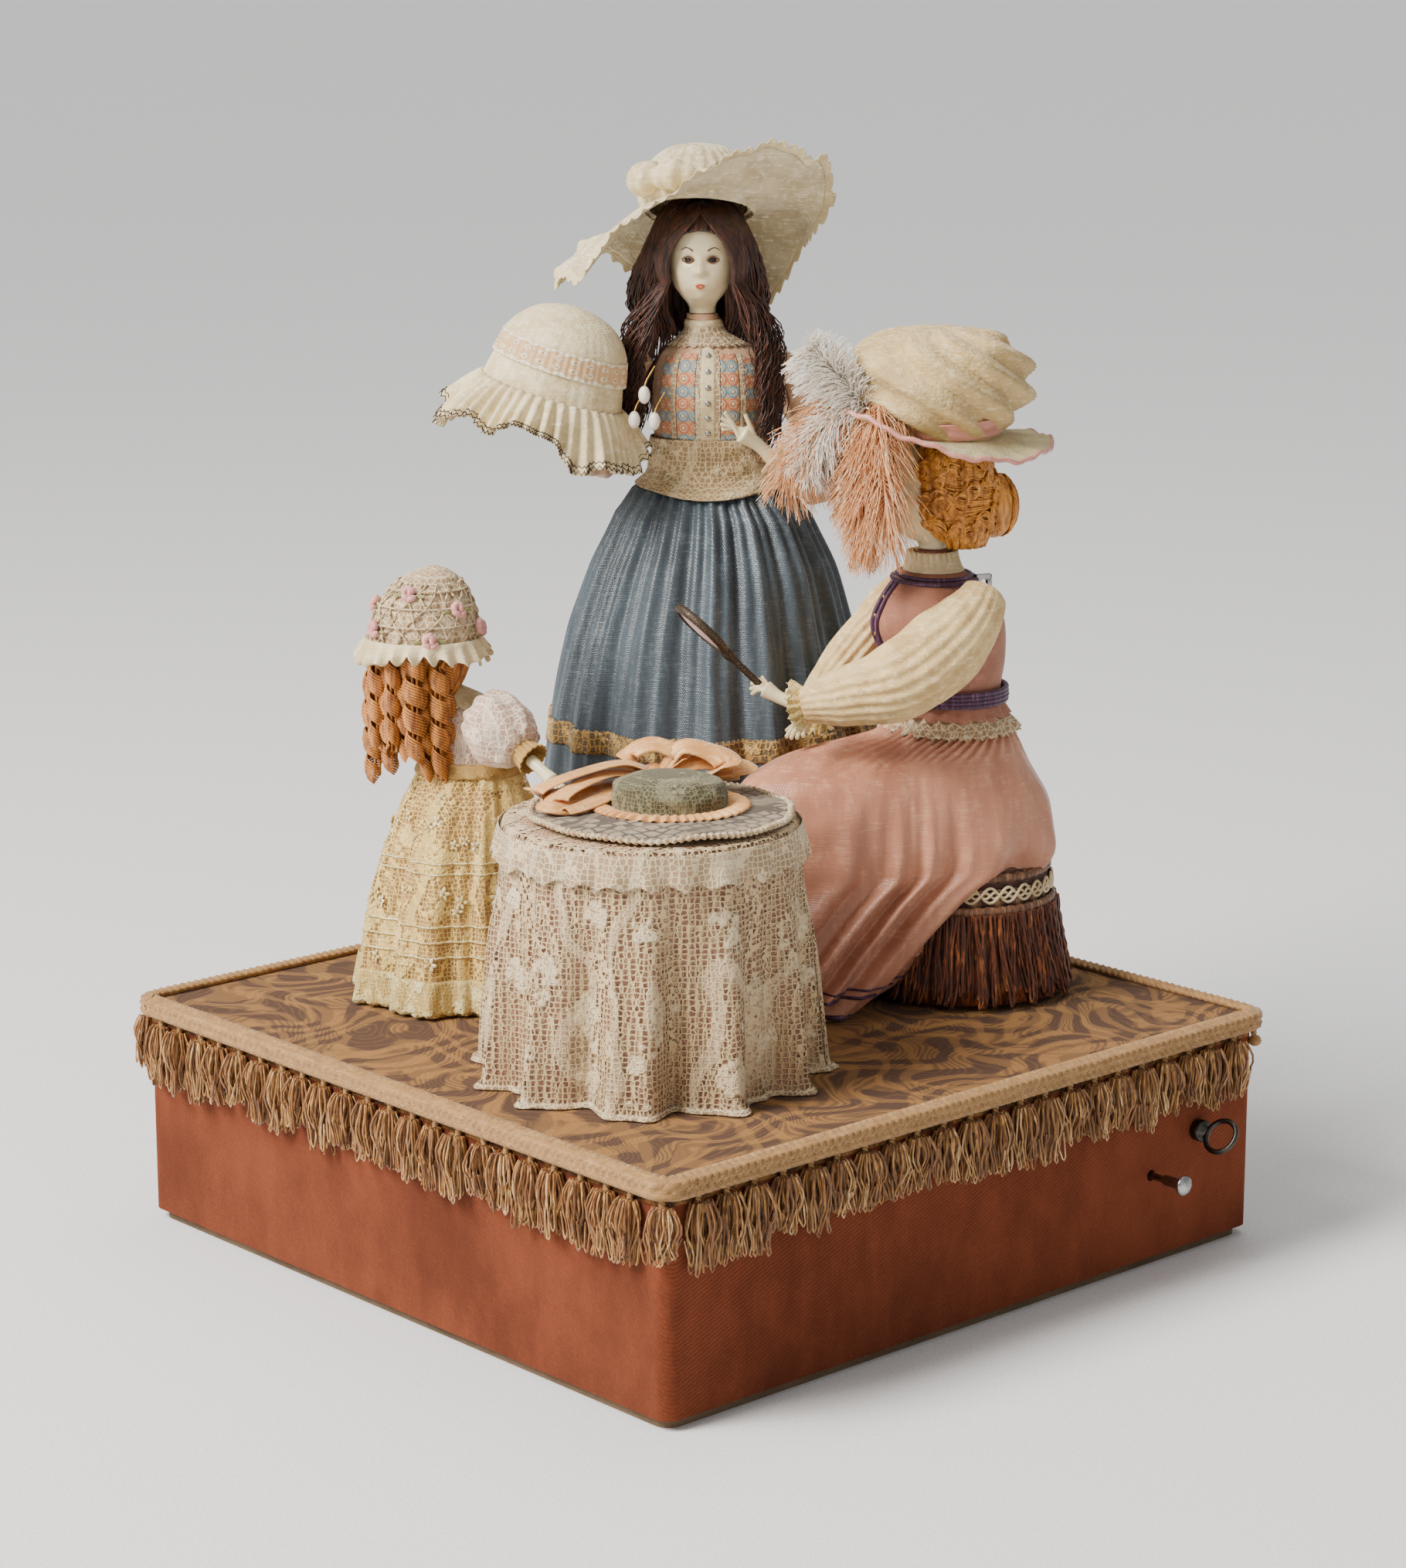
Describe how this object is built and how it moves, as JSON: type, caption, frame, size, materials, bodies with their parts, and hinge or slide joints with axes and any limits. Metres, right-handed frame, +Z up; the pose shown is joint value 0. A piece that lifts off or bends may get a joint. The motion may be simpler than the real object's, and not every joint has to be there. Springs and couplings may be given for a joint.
{
  "type": "automaton doll",
  "caption": "Clockwork doll tableau: two ladies and a child with hats round a lace-covered table, on a tasselled velvet case with key and stop knob.",
  "frame": {"origin": "centre of the square case's underside", "axes": "+Z up through the figures, +X out of the side with the key and stop knob, -Y out of the side left of it"},
  "size_m": [0.3386, 0.3266, 0.4245],
  "materials": {
    "velvet": "short pile velvet, matt with a soft sheen",
    "brocade": "woven brocade, dull satin",
    "gold_braid": "rayon braid and loose thread tassels, silky",
    "pasteboard": "plain matt board",
    "brass": "satin, sealed inside the case",
    "steel": "satin",
    "dark_steel": "dark blued wire",
    "blue_silk": "shot silk, soft satin sheen",
    "peach_silk": "thin silk with lace ribbon, soft satin",
    "porcelain": "smooth glazed skin, soft gloss",
    "dark_hair": "brushed mohair, silky",
    "gauze": "open gauze and lace, matt",
    "cream_cotton": "pleated cotton voile, matt",
    "gimp_brown": "woven gimp trim, dull",
    "fringe_brown": "looped bullion fringe, silky",
    "rose_silk": "silk taffeta, satin sheen",
    "rose_vest": "dull silk, soft sheen",
    "gold_hair": "curled mohair, soft",
    "feather": "loose marabou and ostrich strands",
    "dark_bronze": "dark glitter bronze",
    "yellow_net": "fine embroidered net over a lining, matt",
    "pink_mesh": "open mesh over a lining, matt",
    "ginger_hair": "curled mohair ringlets, silky",
    "crochet": "fine crochet and lace, matt",
    "ivory_lace": "patterned lace over pink cloth, matt",
    "hat_gauze": "stiffened gauze, matt",
    "peach_satin": "satin ribbon, bright sheen"
  },
  "bodies": {
    "base": {"base_case": "velvet", "bottom_board": "pasteboard", "top_board": "brocade", "tassel_trim": "gold_braid", "bedplate": "brass", "music_comb": "steel", "standing_skirt": "blue_silk", "standing_torso": "peach_silk", "standing_left_arm": "peach_silk", "stool": "gimp_brown", "stool_fringe": "fringe_brown", "seated_skirt": "rose_silk", "seated_torso": "rose_vest", "seated_right_arm": "cream_cotton", "child_skirt": "yellow_net", "child_bodice": "pink_mesh", "child_right_sleeve": "pink_mesh", "child_right_hand": "porcelain", "child_left_arm": "pink_mesh", "table_stand": "pasteboard", "table_lace": "ivory_lace", "display_hat": "hat_gauze", "hat_bow": "peach_satin"},
    "key": {"winding_key": "dark_steel"},
    "stop": {"stop_knob": "steel"},
    "barrel": {"spring_barrel": "brass"},
    "cylinder": {"music_cylinder": "brass"},
    "governor_body": {"governor": "steel"},
    "camshaft_body": {"camshaft": "brass", "child_head_cam": "brass", "standing_head_cam": "brass", "seated_head_cam": "brass", "standing_arm_cam": "brass", "seated_arm_cam": "brass"},
    "child_head_lever_body": {"child_head_lever": "steel"},
    "standing_head_lever_body": {"standing_head_lever": "steel"},
    "seated_head_lever_body": {"seated_head_lever": "steel"},
    "standing_arm_lever_body": {"standing_arm_lever": "steel"},
    "seated_arm_lever_body": {"seated_arm_lever": "steel"},
    "standing_wire": {"standing_arm_wire": "steel"},
    "seated_wire": {"seated_arm_wire": "steel"},
    "standing_head_body": {"standing_head": "porcelain", "standing_hair": "dark_hair", "standing_hat": "gauze", "standing_head_rod": "steel"},
    "seated_head_body": {"seated_head": "porcelain", "seated_hair": "gold_hair", "seated_hat": "gauze", "feather_plume": "feather", "seated_head_rod": "steel"},
    "child_head_body": {"child_head": "porcelain", "child_hair": "ginger_hair", "child_cap": "crochet", "child_head_rod": "steel"},
    "standing_arm_body": {"standing_right_sleeve": "peach_silk", "standing_right_hand": "porcelain", "bonnet": "cream_cotton"},
    "seated_arm_body": {"seated_left_sleeve": "cream_cotton", "seated_left_hand": "porcelain", "hand_mirror": "dark_bronze"}
  },
  "joints": [
    {"name": "key_turn", "type": "hinge", "parent": "base", "child": "key", "pos_m": [0.155, 0.1206, 0.0504], "axis": [1, 0, 0], "continuous": true},
    {"name": "stop_slide", "type": "slide", "parent": "base", "child": "stop", "axis": [1, 0, 0], "range_m": [0, 0.006]},
    {"name": "barrel_turn", "type": "hinge", "parent": "base", "child": "barrel", "pos_m": [0.124, 0.1206, 0.0504], "axis": [1, 0, 0], "continuous": true},
    {"name": "cylinder_turn", "type": "hinge", "parent": "base", "child": "cylinder", "pos_m": [0.124, 0.0739, 0.0504], "axis": [1, 0, 0], "continuous": true},
    {"name": "governor_turn", "type": "hinge", "parent": "base", "child": "governor_body", "pos_m": [0.124, 0.0739, 0.0197], "axis": [1, 0, 0], "continuous": true},
    {"name": "camshaft_turn", "type": "hinge", "parent": "base", "child": "camshaft_body", "pos_m": [0.124, 0.0292, 0.0504], "axis": [1, 0, 0], "continuous": true},
    {"name": "child_head_turn", "type": "hinge", "parent": "base", "child": "child_head_body", "pos_m": [-0.08619, -0.05895, 0.218], "axis": [0, 0, 1], "range_deg": [-12, 12]},
    {"name": "child_head_lever_tilt", "type": "hinge", "parent": "base", "child": "child_head_lever_body", "pos_m": [-0.07819, -0.05895, 0.026], "axis": [1, 0, 0], "range_deg": [-2.4, 2.4]},
    {"name": "standing_head_turn", "type": "hinge", "parent": "base", "child": "standing_head_body", "pos_m": [-0.07571, 0.07146, 0.352], "axis": [0, 0, 1], "range_deg": [-12, 12]},
    {"name": "standing_head_lever_tilt", "type": "hinge", "parent": "base", "child": "standing_head_lever_body", "pos_m": [-0.06771, 0.07146, 0.026], "axis": [1, 0, 0], "range_deg": [-2.4, 2.4]},
    {"name": "seated_head_turn", "type": "hinge", "parent": "base", "child": "seated_head_body", "pos_m": [0.04065, 0.0872, 0.268], "axis": [0, 0, 1], "range_deg": [-12, 12]},
    {"name": "seated_head_lever_tilt", "type": "hinge", "parent": "base", "child": "seated_head_lever_body", "pos_m": [0.03265, 0.0872, 0.026], "axis": [1, 0, 0], "range_deg": [-2.4, 2.4]},
    {"name": "standing_arm_swing", "type": "hinge", "parent": "base", "child": "standing_arm_body", "pos_m": [-0.09268, 0.05732, 0.333], "axis": [0.7071, 0.7071, 0], "range_deg": [0, 14]},
    {"name": "standing_wire_slide", "type": "slide", "parent": "base", "child": "standing_wire", "axis": [0, 0, 1], "range_m": [-0.0001, 0.00181]},
    {"name": "standing_arm_lever_tilt", "type": "hinge", "parent": "base", "child": "standing_arm_lever_body", "pos_m": [-0.08631, 0.05, 0.067], "axis": [1, 0, 0], "range_deg": [-0.2, 4.36]},
    {"name": "seated_arm_swing", "type": "hinge", "parent": "base", "child": "seated_arm_body", "pos_m": [0.07178, 0.08376, 0.255], "axis": [0.9205, -0.3907, 0], "range_deg": [-10, 6]},
    {"name": "seated_wire_slide", "type": "slide", "parent": "base", "child": "seated_wire", "axis": [0, 0, 1], "range_m": [-0.00167, 0.00104]},
    {"name": "seated_arm_lever_tilt", "type": "hinge", "parent": "base", "child": "seated_arm_lever_body", "pos_m": [0.05597, 0.06, 0.067], "axis": [1, 0, 0], "range_deg": [-2.44, 1.54]}
  ],
  "couplings": [
    {"joint": "cylinder_turn", "follows": "barrel_turn", "ratio": -0.91667},
    {"joint": "camshaft_turn", "follows": "barrel_turn", "ratio": 1.1},
    {"joint": "governor_turn", "follows": "barrel_turn", "ratio": 3.6667},
    {"joint": "child_head_lever_tilt", "follows": "child_head_turn", "ratio": -0.19048},
    {"joint": "standing_head_lever_tilt", "follows": "standing_head_turn", "ratio": -0.19048},
    {"joint": "seated_head_lever_tilt", "follows": "seated_head_turn", "ratio": 0.19048},
    {"joint": "standing_wire_slide", "follows": "standing_arm_swing", "m_per_rad": 0.007},
    {"joint": "standing_arm_lever_tilt", "follows": "standing_arm_swing", "ratio": 0.29679},
    {"joint": "seated_wire_slide", "follows": "seated_arm_swing", "m_per_rad": 0.009},
    {"joint": "seated_arm_lever_tilt", "follows": "seated_arm_swing", "ratio": 0.22359}
  ]
}
